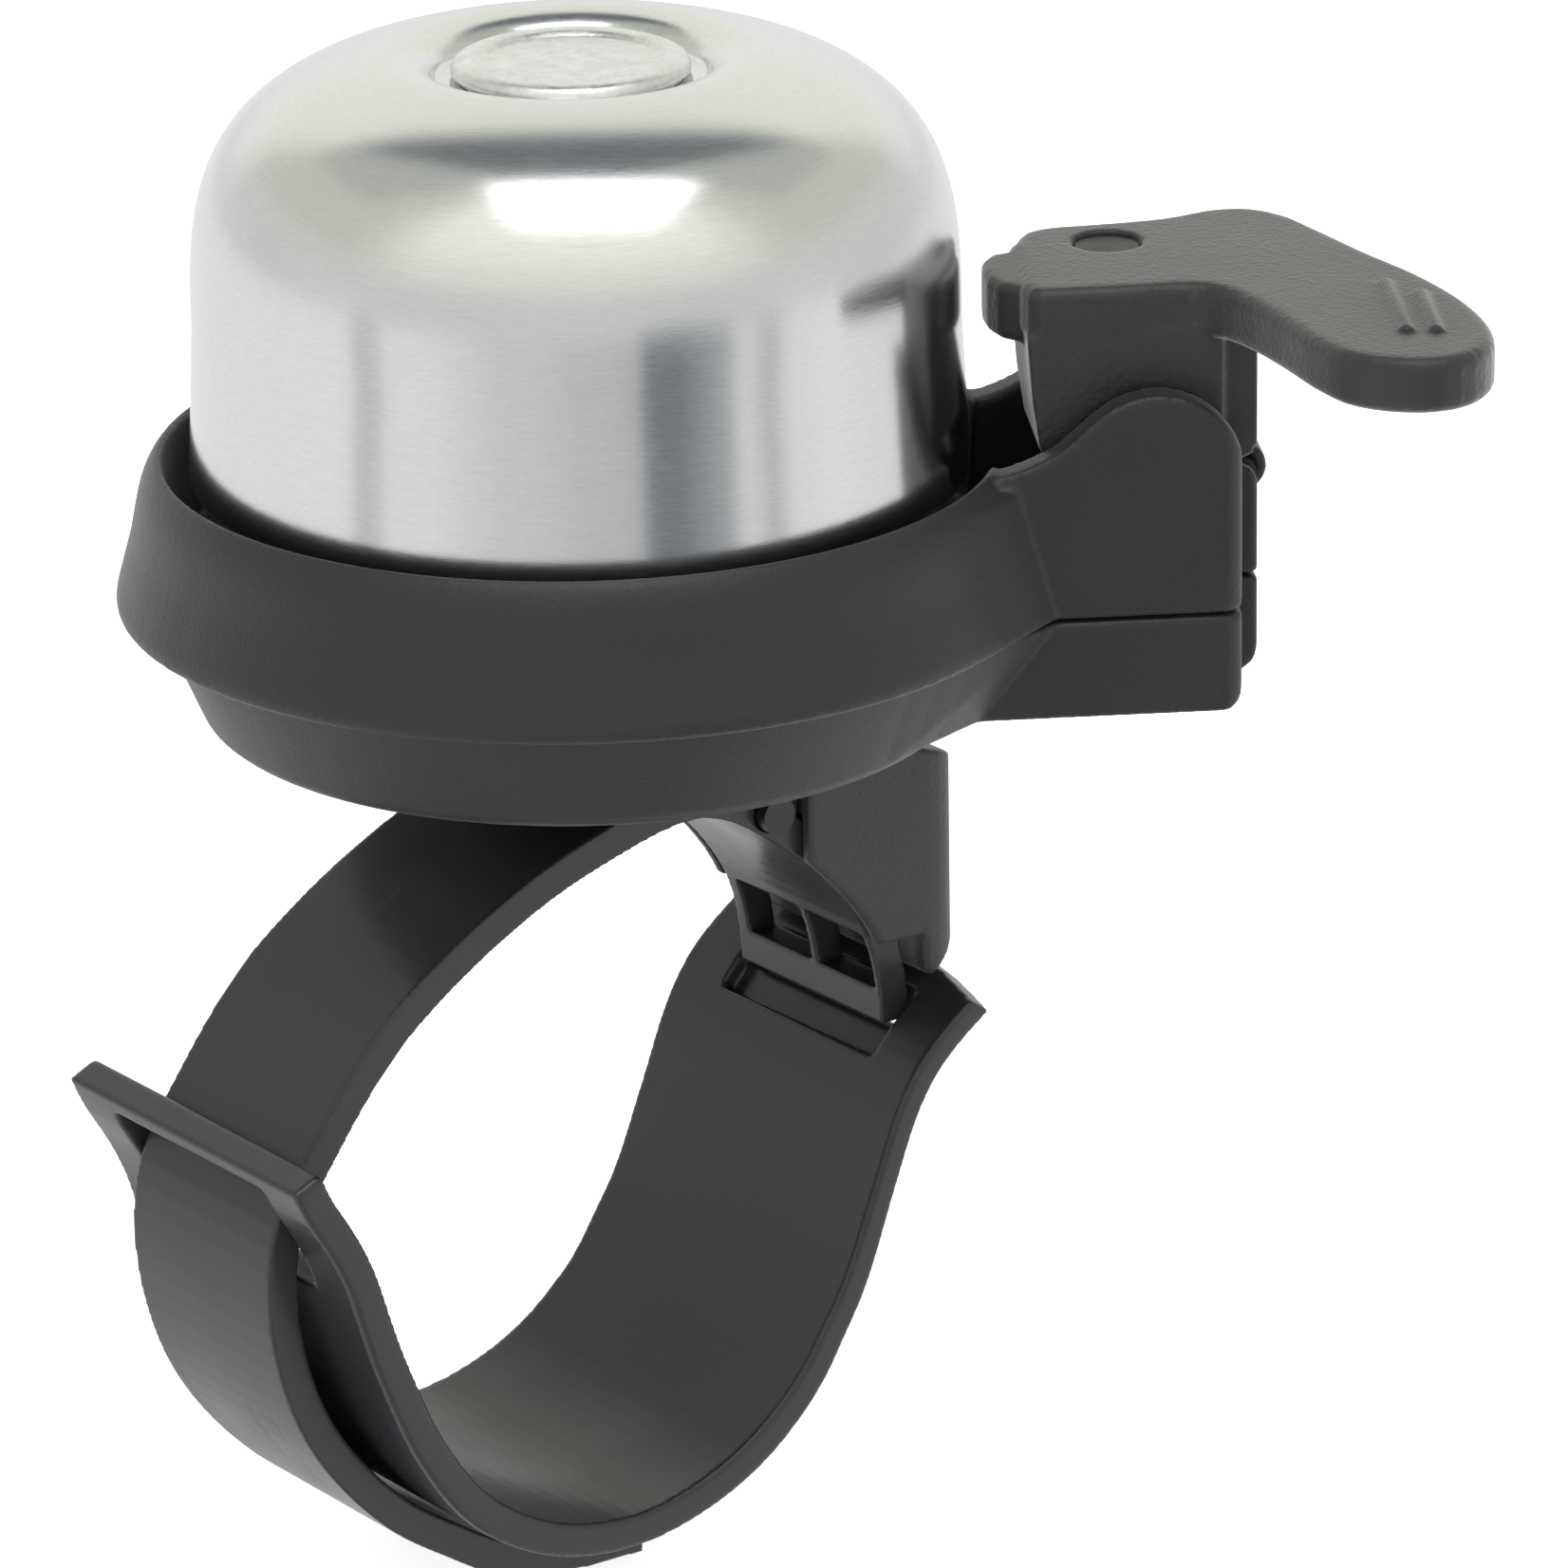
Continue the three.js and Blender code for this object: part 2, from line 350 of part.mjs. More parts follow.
// ---------- clamp block ----------
{
  const side = [[8.7, -17.25], [13.5, -17.45], [17.4, -18.9], [18.6, -19.5], [19.0, -19.9], [19.0, -28.6], [18.6, -29.5], [17.4, -30.3], [16.5, -30.88], [16.0, -30.6], [15.9, -28.5]];
  const lip = shift(innerA, 0.02).filter(p => p[0] > 8.0 && p[1] > -28.4 && p[1] < -21.5).reverse();
  let blk = slabY(side.concat([[13.6, -28.5]]).concat(lip), -6.95, 6.95);
  blk = blk.intersect(slabZ([[7.5, -6.95], ...arc(16.3, -6.95 + 2.7, 2.7, -90, 0, 6), ...arc(16.3, 6.95 - 2.7, 2.7, 0, 90, 6), [7.5, 6.95]], -34, -15));
  // turntable plate under the bell
  blk = blk.add(lathe([[0, -17.2], [7.9, -17.2], [8.1, -17.0], [8.1, -15.6], [7.9, -15.4], [0, -15.4]], 48));
  blk = blk.add(slabY([[4.0, -17.2], [4.0, -15.9], [9.5, -16.4], [13.5, -17.45], [12, -18.5], [9.4, -18.6], [8.7, -17.2]], -6.0, 6.0));
  // channel for the strap
  blk = blk.subtract(slabY(shift(innerA, STRAP_T + 0.2).slice(42).concat([[13.6, -36], [2, -36], [-3, -22]]), -6.2, 6.2));
  blk = blk.subtract(cylY(PIN[0], PIN[1], 2.05, -6.2, 6.2, 28));
  blk = blk.subtract(cylY(PIN[0], PIN[1], 1.02, -8, 8, 28));
  blk = blk.subtract(cylZ(0, 0, 2.0, -18, -15, 28));
  // bore and mouth of the take-up screw
  const g = new THREE.CylinderGeometry(1.55, 1.55, 12, 24); g.rotateZ(Math.PI / 2); g.translate(20, 0, -24.0);
  blk = blk.subtract(solid(g));
  const g2 = new THREE.CylinderGeometry(2.9, 2.9, 3.0, 28); g2.rotateZ(Math.PI / 2); g2.translate(19.3, 0, -24.0);
  blk = blk.subtract(solid(g2));
  add('clamp_block', blk, 'block');
}
// take-up screw with a slotted head in the block's outer face
{
  const head = new THREE.CylinderGeometry(2.7, 2.7, 1.1, 28); head.rotateZ(Math.PI / 2); head.translate(18.4, 0, -24.0);
  const shank = new THREE.CylinderGeometry(1.5, 1.5, 4.2, 24); shank.rotateZ(Math.PI / 2); shank.translate(16.2, 0, -24.0);
  let s = solid(head).add(solid(shank)).subtract(box(18.5, 19.5, -3, 3, -24.35, -23.65));
  add('take_up_screw', s, 'steel');
}

export default group;
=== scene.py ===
import bpy, bmesh, math
from mathutils import Matrix, Vector


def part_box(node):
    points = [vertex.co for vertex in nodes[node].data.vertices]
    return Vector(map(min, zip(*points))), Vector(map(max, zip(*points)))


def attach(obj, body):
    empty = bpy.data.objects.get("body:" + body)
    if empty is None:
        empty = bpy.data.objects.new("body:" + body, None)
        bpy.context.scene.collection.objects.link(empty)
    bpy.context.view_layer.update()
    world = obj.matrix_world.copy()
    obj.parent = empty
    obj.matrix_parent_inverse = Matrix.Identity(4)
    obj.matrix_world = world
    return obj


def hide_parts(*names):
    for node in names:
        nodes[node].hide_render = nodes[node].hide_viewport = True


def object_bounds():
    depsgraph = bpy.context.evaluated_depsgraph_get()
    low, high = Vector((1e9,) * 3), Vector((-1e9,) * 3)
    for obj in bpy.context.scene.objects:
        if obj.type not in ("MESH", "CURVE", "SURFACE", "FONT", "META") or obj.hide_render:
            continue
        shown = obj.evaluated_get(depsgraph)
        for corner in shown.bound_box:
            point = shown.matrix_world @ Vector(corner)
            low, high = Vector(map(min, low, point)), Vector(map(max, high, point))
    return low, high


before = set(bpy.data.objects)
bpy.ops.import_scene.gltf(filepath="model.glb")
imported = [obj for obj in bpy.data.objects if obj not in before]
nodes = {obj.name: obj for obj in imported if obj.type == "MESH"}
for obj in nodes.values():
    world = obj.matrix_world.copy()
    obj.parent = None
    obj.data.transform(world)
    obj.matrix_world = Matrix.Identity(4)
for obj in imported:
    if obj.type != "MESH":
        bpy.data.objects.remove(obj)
CAD_BOX = [list(v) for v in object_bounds()]

# ------------------------------------------------------------------ frame facts
lo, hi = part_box("bell_dome")
AX = Vector(((lo[0] + hi[0]) / 2, (lo[1] + hi[1]) / 2, 0.0))   # the bell's axis
RIM = 0.0365                                                  # dome rim plane
ARM = math.radians(-31.85)                                    # the striker arm's direction
SIN, COS = math.sin(ARM), math.cos(ARM)


def mm(v):
    return v / 1000.0


def arm_point(s, t, z):
    """Arm frame in mm (along the arm, across it, height over the rim) to the row frame in metres."""
    return Vector((AX.x + mm(s * COS - t * SIN), AX.y + mm(s * SIN + t * COS), RIM + mm(z)))


# ------------------------------------------------------------------ camera first
PSI = math.radians(37.0)                                      # the view's turn about +Z
E, ROLL, LENS = 0.352, 0.016, 212.97


def view_dir(x, y, z):
    return Vector((x * math.cos(PSI) + y * math.sin(PSI), -x * math.sin(PSI) + y * math.cos(PSI), z))


fwd = Vector((0, math.cos(E), -math.sin(E)))
right = Vector((1, 0, 0))
up = right.cross(fwd)
r2 = right * math.cos(ROLL) - up * math.sin(ROLL)
u2 = right * math.sin(ROLL) + up * math.cos(ROLL)
cam_data = bpy.data.cameras.new("view_camera")
cam_data.lens, cam_data.sensor_width, cam_data.sensor_fit = LENS, 36.0, "HORIZONTAL"
cam_data.clip_start, cam_data.clip_end = 0.02, 20.0
cam = bpy.data.objects.new("view_camera", cam_data)
bpy.context.scene.collection.objects.link(cam)
pos = view_dir(0.00985, -0.43746, 0.14201) + Vector((AX.x, AX.y, RIM))
R, U, F = view_dir(*r2), view_dir(*u2), view_dir(*fwd)
cam.matrix_world = Matrix(((R.x, U.x, -F.x, pos.x), (R.y, U.y, -F.y, pos.y), (R.z, U.z, -F.z, pos.z), (0, 0, 0, 1)))
bpy.context.scene.camera = cam

# ------------------------------------------------------------------ node helpers
def new_mat(name):
    m = bpy.data.materials.new(name)
    m.use_nodes = True
    m.node_tree.nodes.clear()
    return m, m.node_tree


class Tree:
    def __init__(self, nt):
        self.nt = nt

    def add(self, kind, **kw):
        n = self.nt.nodes.new(kind)
        for k, v in kw.items():
            setattr(n, k, v)
        return n

    def link(self, a, b):
        self.nt.links.new(a, b)

    def val(self, sock, v):
        sock.default_value = v

    def math(self, op, a, b=None, c=None, clamp=False):
        n = self.add("ShaderNodeMath", operation=op, use_clamp=clamp)
        for i, x in enumerate((a, b, c)):
            if x is None:
                continue
            if hasattr(x, "links"):
                self.link(x, n.inputs[i])
            else:
                n.inputs[i].default_value = x
        return n.outputs[0]

    def noise(self, vec, scale, detail=2.0, rough=0.5, dist=0.0, w=None):
        n = self.add("ShaderNodeTexNoise", noise_dimensions="3D")
        n.inputs["Scale"].default_value = scale
        n.inputs["Detail"].default_value = detail
        n.inputs["Roughness"].default_value = rough
        n.inputs["Distortion"].default_value = dist
        if vec is not None:
            self.link(vec, n.inputs["Vector"])
        return n.outputs["Fac"]

    def ramp(self, fac, stops):
        n = self.add("ShaderNodeValToRGB")
        e = n.color_ramp.elements
        while len(e) < len(stops):
            e.new(0.5)
        for el, (p, c) in zip(e, stops):
            el.position = p
            el.color = (*c, 1) if len(c) == 3 else c
        self.link(fac, n.inputs["Fac"])
        return n.outputs["Color"]

    def maprange(self, v, a, b, c, d):
        n = self.add("ShaderNodeMapRange", clamp=True)
        self.link(v, n.inputs["Value"])
        for k, x in zip(("From Min", "From Max", "To Min", "To Max"), (a, b, c, d)):
            n.inputs[k].default_value = x
        return n.outputs["Result"]

    def combine(self, x, y, z):
        n = self.add("ShaderNodeCombineXYZ")
        for i, v in enumerate((x, y, z)):
            if hasattr(v, "links"):
                self.link(v, n.inputs[i])
            else:
                n.inputs[i].default_value = v
        return n.outputs[0]

    def separate(self, v):
        n = self.add("ShaderNodeSeparateXYZ")
        self.link(v, n.inputs[0])
        return n.outputs

    def bump(self, height, strength, distance, normal=None):
        n = self.add("ShaderNodeBump")
        n.inputs["Strength"].default_value = strength
        n.inputs["Distance"].default_value = distance
        self.link(height, n.inputs["Height"])
        if normal is not None:
            self.link(normal, n.inputs["Normal"])
        return n.outputs[0]

    def shader(self, base=None, rough=None, normal=None, metallic=0.0, base_value=(0.02, 0.02, 0.02), rough_value=0.5, spec=0.5, coat=0.0, coat_rough=0.1, tangent=None, aniso=0.0, ior=1.5):
        p = self.add("ShaderNodeBsdfPrincipled")
        p.inputs["Metallic"].default_value = metallic
        p.inputs["Base Color"].default_value = (*base_value, 1)
        p.inputs["Roughness"].default_value = rough_value
        p.inputs["IOR"].default_value = ior
        p.inputs["Specular IOR Level"].default_value = spec
        p.inputs["Coat Weight"].default_value = coat
        p.inputs["Coat Roughness"].default_value = coat_rough
        p.inputs["Anisotropic"].default_value = aniso
        p.inputs["Anisotropic Rotation"].default_value = 0.25 if aniso else 0.0
        if base is not None:
            self.link(base, p.inputs["Base Color"])
        if rough is not None:
            self.link(rough, p.inputs["Roughness"])
        if normal is not None:
            self.link(normal, p.inputs["Normal"])
        if tangent is not None:
            self.link(tangent, p.inputs["Tangent"])
        o = self.add("ShaderNodeOutputMaterial")
        self.link(p.outputs[0], o.inputs["Surface"])
        return p


def object_coord(t):
    return t.add("ShaderNodeTexCoord").outputs["Object"]


# ------------------------------------------------------------------ materials
def turned_vector(t, k_angle, k_long):
    """Coordinates for marks that run round the bell's axis."""
    x, y, z = t.separate(object_coord(t))
    dx = t.math("SUBTRACT", x, AX.x)
    dy = t.math("SUBTRACT", y, AX.y)
    rr = t.math("MAXIMUM", t.math("SQRT", t.math("ADD", t.math("MULTIPLY", dx, dx), t.math("MULTIPLY", dy, dy))), 1e-5)
    nx, ny = t.math("DIVIDE", dx, rr), t.math("DIVIDE", dy, rr)
    along = t.math("SUBTRACT", z, rr)
    return t.combine(t.math("MULTIPLY", nx, k_angle), t.math("MULTIPLY", ny, k_angle), t.math("MULTIPLY", along, k_long)), z, rr


def brushed_dome():
    m, nt = new_mat("brushed_aluminium")
    t = Tree(nt)
    v, z, rr = turned_vector(t, 34.0, 13000.0)
    fine = t.noise(v, 1.0, 3.0, 0.6)
    v2, _, _ = turned_vector(t, 14.0, 5600.0)
    broad = t.noise(v2, 1.0, 2.0, 0.5)
    blot = t.noise(object_coord(t), 90.0, 3.0, 0.55)
    both = t.math("ADD", t.math("MULTIPLY", fine, 0.62), t.math("MULTIPLY", broad, 0.38))
    rough = t.maprange(t.math("ADD", t.math("MULTIPLY", both, 0.7), t.math("MULTIPLY", blot, 0.3)), 0.3, 0.7, 0.15, 0.21)
    col = t.ramp(both, [(0.25, (0.74, 0.745, 0.75)), (0.75, (0.86, 0.86, 0.86))])
    tan = t.add("ShaderNodeTangent", direction_type="RADIAL", axis="Z")
    t.shader(base=col, rough=rough, normal=t.bump(both, 0.12, 0.00003), metallic=1.0, tangent=tan.outputs[0], aniso=0.55)
    return m


def frosted_nut():
    m, nt = new_mat("frosted_nut_metal")
    t = Tree(nt)
    c = object_coord(t)
    fine = t.noise(c, 2600.0, 3.0, 0.6)
    pits = t.noise(c, 900.0, 2.0, 0.5)
    h = t.math("ADD", t.math("MULTIPLY", fine, 0.6), t.math("MULTIPLY", pits, 0.4))
    rough = t.maprange(pits, 0.35, 0.65, 0.3, 0.46)
    col = t.ramp(fine, [(0.3, (0.78, 0.79, 0.785)), (0.7, (0.93, 0.93, 0.925))])
    t.shader(base=col, rough=rough, normal=t.bump(h, 0.5, 0.00008), metallic=1.0)
    return m


def plated(name, tone, rough0):
    m, nt = new_mat(name)
    t = Tree(nt)
    c = object_coord(t)
    n1 = t.noise(c, 1500.0, 2.0, 0.5)
    n2 = t.noise(c, 240.0, 3.0, 0.6)
    rough = t.maprange(n2, 0.3, 0.7, rough0 - 0.08, rough0 + 0.1)
    col = t.ramp(n2, [(0.3, tuple(v * 0.86 for v in tone)), (0.7, tone)])
    t.shader(base=col, rough=rough, normal=t.bump(n1, 0.12, 0.00004), metallic=1.0)
    return m


def moulded(name, tone, grain, grain_depth, rough0, spread=0.06, edge_highlight=0.0, sheen=0.0, spec=0.5):
    """Moulded plastic: spark texture, a slow change of tone, and a painted highlight: sharp edges get a lighter colour
    by pointiness.
    """
    m, nt = new_mat(name)
    t = Tree(nt)
    c = object_coord(t)
    g = t.add("ShaderNodeTexVoronoi", feature="F1", distance="EUCLIDEAN")
    g.inputs["Scale"].default_value = grain
    t.link(c, g.inputs["Vector"])
    cell = g.outputs["Distance"]
    n1 = t.noise(c, grain * 0.9, 3.0, 0.65)
    n2 = t.noise(c, 140.0, 3.0, 0.5)
    h = t.math("ADD", t.math("MULTIPLY", cell, 0.45), t.math("MULTIPLY", n1, 0.55))
    tone_f = t.math("ADD", t.math("MULTIPLY", n2, 0.55), t.math("MULTIPLY", n1, 0.45))
    col = t.ramp(tone_f, [(0.3, tuple(v * 0.78 for v in tone)), (0.7, tuple(v * 1.2 for v in tone))])
    rough = t.maprange(tone_f, 0.3, 0.7, rough0 - spread, rough0 + spread)
    # painted highlight: the colour is lightened where pointiness is high, on sharp edges, as if light caught them
    if edge_highlight:
        geo = t.add("ShaderNodeNewGeometry")
        e = t.maprange(geo.outputs["Pointiness"], 0.52, 0.6, 0.0, edge_highlight)
        mix = t.add("ShaderNodeMix", data_type="RGBA")
        t.link(e, mix.inputs[0])
        t.link(col, mix.inputs[6])
        mix.inputs[7].default_value = (*(min(1, v * 2.6) for v in tone), 1)
        col = mix.outputs[2]
    p = t.shader(base=col, rough=rough, normal=t.bump(h, grain_depth, 0.00006), spec=spec)
    p.inputs["Sheen Weight"].default_value = sheen
    p.inputs["Sheen Roughness"].default_value = 0.4
    return m


def strap_plastic(name, tone, rough0):
    """Satin nylon strap: smooth, with faint scuffs that run along the strap."""
    m, nt = new_mat(name)
    t = Tree(nt)
    c = object_coord(t)
    mp = t.add("ShaderNodeMapping")
    t.link(c, mp.inputs["Vector"])
    mp.inputs["Scale"].default_value = (60.0, 2600.0, 60.0)
    lines = t.noise(mp.outputs[0], 1.0, 3.0, 0.6)
    n2 = t.noise(c, 120.0, 3.0, 0.55)
    fine = t.noise(c, 2500.0, 2.0, 0.5)
    mark = t.ramp(lines, [(0.56, (0, 0, 0)), (0.72, (1, 1, 1))])
    gate = t.maprange(n2, 0.45, 0.68, 0.0, 1.0)
    scuff = t.math("MULTIPLY", mark, gate)
    mix = t.add("ShaderNodeMix", data_type="RGBA")
    t.link(t.math("MULTIPLY", scuff, 0.18), mix.inputs[0])
    mix.inputs[6].default_value = (*tone, 1)
    mix.inputs[7].default_value = (*(v * 2.4 for v in tone), 1)
    rough = t.math("ADD", t.maprange(n2, 0.3, 0.7, rough0 - 0.04, rough0 + 0.06), t.math("MULTIPLY", scuff, 0.15))
    h = t.math("ADD", t.math("MULTIPLY", lines, 0.5), t.math("MULTIPLY", fine, 0.5))
    t.shader(base=mix.outputs[2], rough=rough, normal=t.bump(h, 0.05, 0.00003), spec=0.55)
    return m


MAT = {
    "alu": brushed_dome(),
    "nut": frosted_nut(),
    "steel": plated("plated_steel", (0.6, 0.61, 0.63), 0.34),
    "dark": plated("blackened_steel", (0.1, 0.1, 0.105), 0.5),
    "nylon": moulded("natural_nylon", (0.72, 0.7, 0.64), 1500.0, 0.1, 0.5),
    "base": moulded("black_moulded_base", (0.0102, 0.0100, 0.0116), 4200.0, 0.5, 0.46, edge_highlight=0.0, sheen=0.13, spec=0.62),
    "bowl": moulded("black_moulded_bowl", (0.0110, 0.0108, 0.0135), 4200.0, 0.45, 0.46, edge_highlight=0.0, sheen=0.09, spec=0.6),
    # the lever carries the painted edge highlight: a lighter colour on its sharp edges
    "lever": moulded("black_moulded_lever", (0.0135, 0.0138, 0.0145), 3000.0, 0.7, 0.46, edge_highlight=0.35, sheen=0.55, spec=0.62),
    "block": moulded("black_moulded_block", (0.0252, 0.0248, 0.0275), 3200.0, 0.7, 0.5, edge_highlight=0.0, sheen=0.1, spec=0.6),
    "strap": strap_plastic("black_strap_nylon", (0.0240, 0.0232, 0.0272), 0.27),
    "rubber": moulded("black_rubber", (0.012, 0.012, 0.012), 2500.0, 0.2, 0.8),
}
USE = {
    "bell_dome": "alu", "dome_cap_nut": "nut", "dome_washer": "nylon", "dome_bushing": "rubber", "post_sleeve": "nylon", "center_stud": "steel",
    "stud_washer": "steel", "stud_nut": "steel", "base_ring": "base", "base_bowl": "bowl", "base_screw_1": "steel", "base_screw_2": "steel", "base_screw_3": "steel",
    "striker_lever": "lever", "hammer_slug": "dark", "lever_pin": "steel", "return_spring": "steel", "spring_post": "dark", "swivel_bolt": "steel", "swivel_washer": "nylon",
    "main_strap": "strap", "strap_pin": "dark", "keeper_strap": "strap", "clamp_block": "block", "take_up_screw": "steel",
}


def shade(o, angle=32.0, bevel=0.0, segs=2, planar=True):
    """Moulded or machined edges for a CAD node: only modifiers, the node's own points stay."""
    o.data.polygons.foreach_set("use_smooth", [True] * len(o.data.polygons))
    if planar:
        d = o.modifiers.new("flats", "DECIMATE")
        d.decimate_type = "DISSOLVE"
        d.angle_limit = math.radians(0.6)
    if bevel:
        b = o.modifiers.new("edges", "BEVEL")
        b.width = mm(bevel)
        b.segments = segs
        b.limit_method = "ANGLE"
        b.angle_limit = math.radians(angle)
        b.use_clamp_overlap = True
        b.harden_normals = False
        b.miter_outer = "MITER_ARC"
    w = o.modifiers.new("normals", "WEIGHTED_NORMAL")
    w.keep_sharp = True
    w.weight = 80


def mould(o, voxel, rounds, keep=0.4):
    """Soft moulded edges and an even surface for a faceted CAD node, by modifiers alone."""
    o.data.polygons.foreach_set("use_smooth", [True] * len(o.data.polygons))
    r = o.modifiers.new("skin", "REMESH")
    r.mode = "VOXEL"
    r.voxel_size = mm(voxel)
    r.adaptivity = 0.0
    r.use_smooth_shade = True
    s_ = o.modifiers.new("soft_edges", "SMOOTH")
    s_.factor = 0.5
    s_.iterations = rounds
    if keep < 1.0:
        d = o.modifiers.new("thin_out", "DECIMATE")
        d.decimate_type = "COLLAPSE"
        d.ratio = keep


BEVEL = {"dome_cap_nut": 0.05, "take_up_screw": 0.08, "strap_pin": 0.12, "stud_nut": 0.1, "spring_post": 0.08, "lever_pin": 0.08,
         "base_screw_1": 0.05, "base_screw_2": 0.05, "base_screw_3": 0.05}
MOULD = {"base_ring": (0.21, 6, 1.0), "base_bowl": (0.21, 6, 1.0), "striker_lever": (0.15, 6, 1.0), "clamp_block": (0.17, 5, 1.0), "main_strap": (0.13, 3, 1.0), "keeper_strap": (0.17, 3, 1.0)}
for name, o in nodes.items():
    o.data.materials.clear()
    o.data.materials.append(MAT[USE[name]])
    if name in MOULD:
        mould(o, *MOULD[name])
    else:
        shade(o, bevel=BEVEL.get(name, 0.0))


# ------------------------------------------------------------------ finer turned pieces
def turned(name, profile, segs=256):
    """A closed profile [(r, z) in mm over the rim plane] turned about the bell's axis."""
    bm = bmesh.new()
    rings = []
    for r, z in profile:
        if r < 1e-6:
            rings.append([bm.verts.new((AX.x, AX.y, RIM + mm(z)))])
        else:
            rings.append([bm.verts.new((AX.x + mm(r) * math.cos(2 * math.pi * i / segs), AX.y + mm(r) * math.sin(2 * math.pi * i / segs), RIM + mm(z))) for i in range(segs)])
    n = len(rings)
    closed = len(rings[0]) > 1 and len(rings[-1]) > 1
    for k in range(n if closed else n - 1):
        a, b = rings[k], rings[(k + 1) % n]
        for i in range(segs):
            j = (i + 1) % segs
            q = [a[i % len(a)], a[j % len(a)], b[j % len(b)], b[i % len(b)]]
            u = []
            for v in q:
                if v not in u:
                    u.append(v)
            if len(u) >= 3:
                bm.faces.new(u)
    bmesh.ops.recalc_face_normals(bm, faces=bm.faces)
    me = bpy.data.meshes.new(name)
    bm.to_mesh(me)
    bm.free()
    me.polygons.foreach_set("use_smooth", [True] * len(me.polygons))
    o = bpy.data.objects.new(name, me)
    bpy.context.scene.collection.objects.link(o)
    return o


def fillet(pts, radii, n=5):
    """Rounds the corners of a polyline; radii gives each corner's radius (0 keeps it)."""
    out = []
    N = len(pts)
    for i, (p, r) in enumerate(zip(pts, radii)):
        p = Vector(p)
        if not r or i in (0, N - 1):
            out.append(tuple(p))
            continue
        a, b = Vector(pts[i - 1]) - p, Vector(pts[(i + 1) % N]) - p
        la, lb = a.length, b.length
        a.normalize(); b.normalize()
        ang = a.angle(b)
        d = min(r / math.tan(ang / 2), la * 0.49, lb * 0.49)
        rr = d * math.tan(ang / 2)
        c = p + (a + b).normalized() * (rr / math.sin(ang / 2))
        s, e = p + a * d - c, p + b * d - c
        for k in range(n + 1):
            f = k / n
            v = (s * (1 - f) + e * f).normalized() * rr
            out.append(tuple(c + v))
    return out


def spline(pts, n):
    """A smooth line through the inner points of a list; its two ends only steer it."""
    out = []
    for i in range(1, len(pts) - 2):
        a, b, c, d = (Vector(q) for q in pts[i - 1:i + 3])
        for k in range(n):
            f = k / n
            out.append(tuple(0.5 * (2 * b + (c - a) * f + (2 * a - 5 * b + 4 * c - d) * f * f + (3 * b - a - 3 * c + d) * f ** 3)))
    out.append(tuple(pts[-2]))
    return out


POW = 2 / 3.21
prof = [(18.35, -1.7)]
prof += fillet([(18.25, -1.7), (19.38, -1.7), (19.16, 3.0)], [0, 0.35, 0], 5)[1:-1]
prof += [(19.0 + 0.38 * (6.14 - z) / 7.84, z) for z in (-0.5, 1.0, 2.5, 4.0, 5.2)]
for k in range(0, 57):
    th = math.radians(k / 57 * 69)
    prof.append((19.0 * math.cos(th) ** POW, 6.14 + 13.91 * math.sin(th) ** POW))
prof += spline([(10.6, 19.38), (10.03, 19.467), (9.1, 19.57), (8.35, 19.53), (7.7, 19.365), (7.2, 19.09), (6.87, 18.78), (6.7, 18.5), (6.6, 18.2)], 6)
prof += [(6.62, 18.42), (6.4, 18.4), (2.6, 18.4), (2.6, 17.2), (7.4, 17.2)]
for k in range(24, -1, -1):
    th = math.radians(k / 24 * 64)
    prof.append((17.8 * math.cos(th) ** POW, 6.14 + 11.06 * math.sin(th) ** POW))
prof += [(18.0, 2.0)]
dome = turned("dome_shell", prof)
dome.data.materials.append(MAT["alu"])
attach(dome, "bell")
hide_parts("bell_dome")

nut_line = spline([(4.1, 19.1), (4.3, 19.13), (4.62, 19.33), (4.95, 19.41), (5.35, 19.395), (5.68, 19.26), (5.85, 19.02), (5.9, 18.73), (5.92, 18.5)], 6)
nut = turned("cap_nut_shell", [(0, 19.12), (2.0, 19.12), (4.05, 19.12)] + nut_line + [(2.45, 18.72), (2.45, 16.3), (2.02, 16.3), (2.02, 18.2), (0, 18.2)], 160)
nut.data.materials.append(MAT["nut"])
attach(nut, "bell")
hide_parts("dome_cap_nut")


def rounded_copy(name, s_lo, s_hi):
    """The moulded surface of a base node with its flats about the bell's axis turned true round."""
    src = nodes[name]
    ev = src.evaluated_get(bpy.context.evaluated_depsgraph_get())
    me_ = bpy.data.meshes.new_from_object(ev)
    me_.transform(src.matrix_world)
    co = [0.0] * (3 * len(me_.vertices))
    me_.vertices.foreach_get("co", co)
    flat = math.cos(math.radians(2.8125))
    for i in range(0, len(co), 3):
        x, y = co[i] - AX.x, co[i + 1] - AX.y
        s_ = (x * COS + y * SIN) * 1000
        if s_ >= s_hi:
            continue
        phi = (math.degrees(math.atan2(y * COS - x * SIN, x * COS + y * SIN)) % 5.625) - 2.8125
        f = 1 + (math.cos(math.radians(phi)) / flat - 1) * min(1.0, (s_hi - s_) / (s_hi - s_lo))
        co[i], co[i + 1] = AX.x + x * f, AX.y + y * f
    me_.vertices.foreach_set("co", co)
    me_.update()
    me_.polygons.foreach_set("use_smooth", [True] * len(me_.polygons))
    ob_ = bpy.data.objects.new(name + "_skin", me_)
    bpy.context.scene.collection.objects.link(ob_)
    me_.materials.clear()
    me_.materials.append(MAT[USE[name]])
    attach(ob_, "bell")
    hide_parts(name)
    return ob_


rounded_copy("base_ring", 16.5, 20.0)
rounded_copy("base_bowl", 16.5, 20.0)

